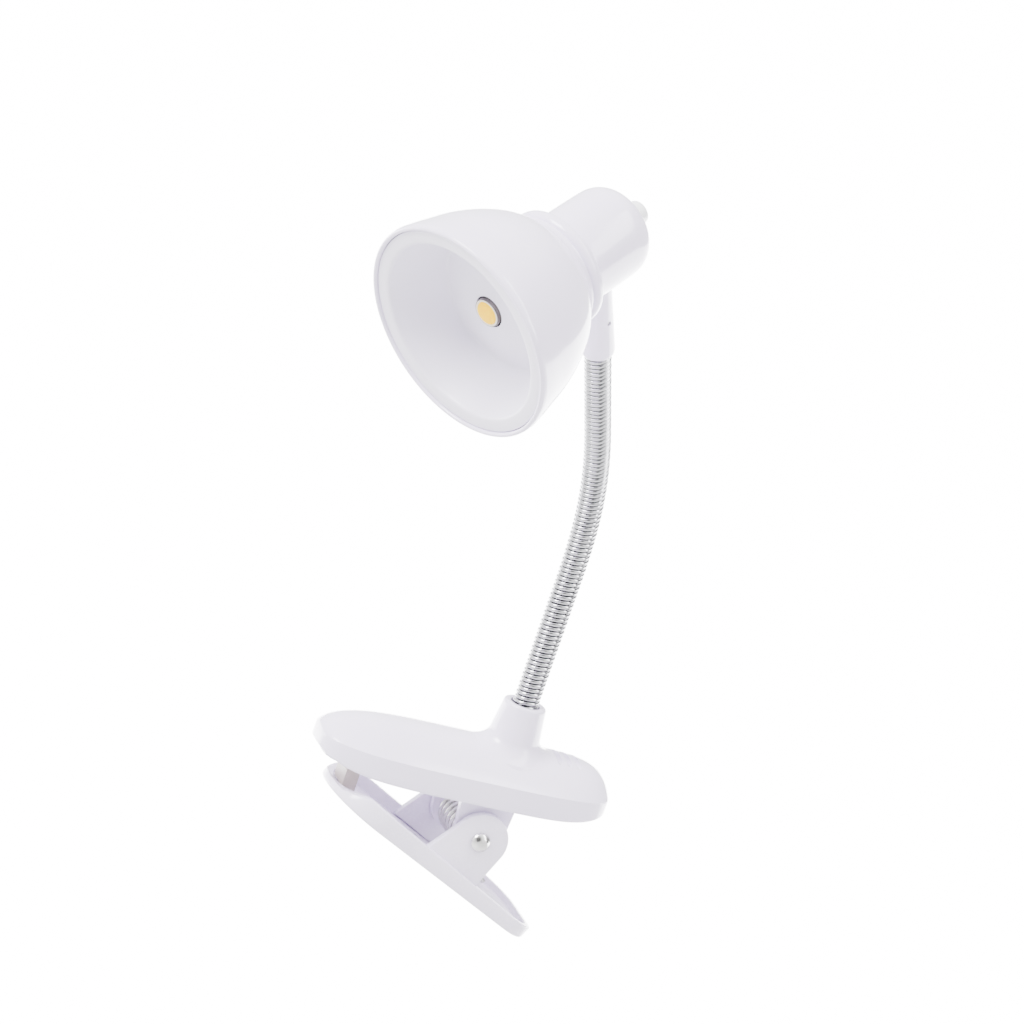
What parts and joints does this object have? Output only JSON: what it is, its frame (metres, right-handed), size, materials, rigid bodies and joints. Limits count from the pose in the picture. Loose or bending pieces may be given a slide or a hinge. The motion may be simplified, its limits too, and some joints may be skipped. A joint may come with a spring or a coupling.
{
  "type": "clip-on reading lamp",
  "caption": "Clip-on reading lamp: sprung jaw clip, flexible coiled metal neck and a bell-shaped head with a shallow reflector, a yellow LED and a rear push button.",
  "frame": {"origin": "middle of the flat grip land under the upper jaw", "axes": "+Z away from the jaw towards the head, +X from the jaw's tip to the thumb end, -Y towards the near side"},
  "size_m": [0.0908, 0.0723, 0.1547],
  "materials": {
    "white_abs": "glossy white moulded plastic with a faint lavender tint",
    "chrome": "bright wound metal",
    "steel": "plain steel",
    "natural_plastic": "unpainted natural plastic",
    "black_plastic": "black plastic",
    "board": "white printed board",
    "ceramic": "pale LED package",
    "phosphor": "yellow LED phosphor"
  },
  "bodies": {
    "clip_top": {"clip_housing": "white_abs", "clip_base_plate": "white_abs", "base_screw_front": "steel", "base_screw_rear": "steel", "upper_grip": "white_abs", "pivot_pin": "steel", "pivot_washer": "steel", "jaw_spring": "steel", "neck_root_sleeve": "chrome"},
    "clip_lever": {"clip_lever": "white_abs", "lower_grip": "white_abs"},
    "neck_01": {"neck_link_01": "chrome"},
    "neck_02": {"neck_link_02": "chrome"},
    "neck_03": {"neck_link_03": "chrome"},
    "neck_04": {"neck_link_04": "chrome"},
    "neck_05": {"neck_link_05": "chrome"},
    "neck_06": {"neck_link_06": "chrome"},
    "neck_07": {"neck_link_07": "chrome"},
    "neck_08": {"neck_link_08": "chrome"},
    "neck_09": {"neck_link_09": "chrome"},
    "neck_10": {"neck_link_10": "chrome"},
    "neck_11": {"neck_link_11": "chrome"},
    "head": {"barrel": "white_abs", "neck_top_sleeve": "chrome", "stem_pin": "steel", "battery_sleeve": "natural_plastic", "battery_cell_1": "steel", "battery_cell_2": "steel", "battery_cell_3": "steel", "rear_contact": "steel", "switch_body": "black_plastic", "button_spring": "steel"},
    "button": {"push_button": "white_abs"},
    "lamp_front": {"shade": "white_abs", "reflector_cup": "white_abs", "led_board": "board", "led_package": "ceramic", "led_phosphor": "phosphor", "led_holder": "natural_plastic", "front_contact": "steel", "led_resistor": "black_plastic"}
  },
  "joints": [
    {"name": "jaw_pivot", "type": "hinge", "parent": "clip_top", "child": "clip_lever", "pos_m": [0.0222, 0, -0.0076], "axis": [0, -1, 0], "range_deg": [0, 30], "stiffness_Nm_per_rad": 0.2, "springref_deg": -45.84, "deforming": ["jaw_spring"]},
    {"name": "neck_bend_1", "type": "hinge", "parent": "clip_top", "child": "neck_01", "pos_m": [0.026, 0, 0.0228], "axis": [0.6601, -0.7511, 0], "range_deg": [-5.6, 9]},
    {"name": "neck_side_1", "type": "hinge", "parent": "neck_01", "child": "neck_02", "pos_m": [0.026, 0, 0.02955], "axis": [0.7511, 0.6601, 0], "range_deg": [-8, 8]},
    {"name": "neck_bend_2", "type": "hinge", "parent": "neck_02", "child": "neck_03", "pos_m": [0.026, 0, 0.0363], "axis": [0.6601, -0.7511, 0], "range_deg": [-5.6, 9]},
    {"name": "neck_side_2", "type": "hinge", "parent": "neck_03", "child": "neck_04", "pos_m": [0.026, 0, 0.04305], "axis": [0.7511, 0.6601, 0.0094], "range_deg": [-8, 8]},
    {"name": "neck_bend_3", "type": "hinge", "parent": "neck_04", "child": "neck_05", "pos_m": [0.02595, -0.00004, 0.0498], "axis": [0.6601, -0.7511, 0], "range_deg": [-5.6, 9]},
    {"name": "neck_side_3", "type": "hinge", "parent": "neck_05", "child": "neck_06", "pos_m": [0.02552, -0.00043, 0.05652], "axis": [0.734, 0.6451, 0.2122], "range_deg": [-8, 8]},
    {"name": "neck_bend_4", "type": "hinge", "parent": "neck_06", "child": "neck_07", "pos_m": [0.02444, -0.00137, 0.06312], "axis": [0.6601, -0.7511, 0], "range_deg": [-5.6, 9]},
    {"name": "neck_side_4", "type": "hinge", "parent": "neck_07", "child": "neck_08", "pos_m": [0.02266, -0.00294, 0.06944], "axis": [0.6626, 0.5823, 0.4711], "range_deg": [-8, 8]},
    {"name": "neck_bend_5", "type": "hinge", "parent": "neck_08", "child": "neck_09", "pos_m": [0.02027, -0.00504, 0.07539], "axis": [0.6601, -0.7511, 0], "range_deg": [-5.6, 9]},
    {"name": "neck_side_5", "type": "hinge", "parent": "neck_09", "child": "neck_10", "pos_m": [0.01751, -0.00746, 0.08106], "axis": [0.6249, 0.5492, 0.5548], "range_deg": [-8, 8]},
    {"name": "neck_bend_6", "type": "hinge", "parent": "neck_10", "child": "neck_11", "pos_m": [0.0147, -0.00993, 0.08668], "axis": [0.6601, -0.7511, 0], "range_deg": [-5.6, 9]},
    {"name": "neck_side_6", "type": "hinge", "parent": "neck_11", "child": "head", "pos_m": [0.01189, -0.0124, 0.09229], "axis": [0.6249, 0.5492, 0.5548], "range_deg": [-8, 8]},
    {"name": "button_press", "type": "slide", "parent": "head", "child": "button", "axis": [-0.7076, -0.4438, -0.5499], "range_m": [0, 0.001], "stiffness_N_per_m": 300, "springref_m": -0.001, "deforming": ["button_spring"]},
    {"name": "shade_pull", "type": "slide", "parent": "head", "child": "lamp_front", "axis": [-0.7076, -0.4438, -0.5499], "range_m": [0, 0.02]}
  ]
}
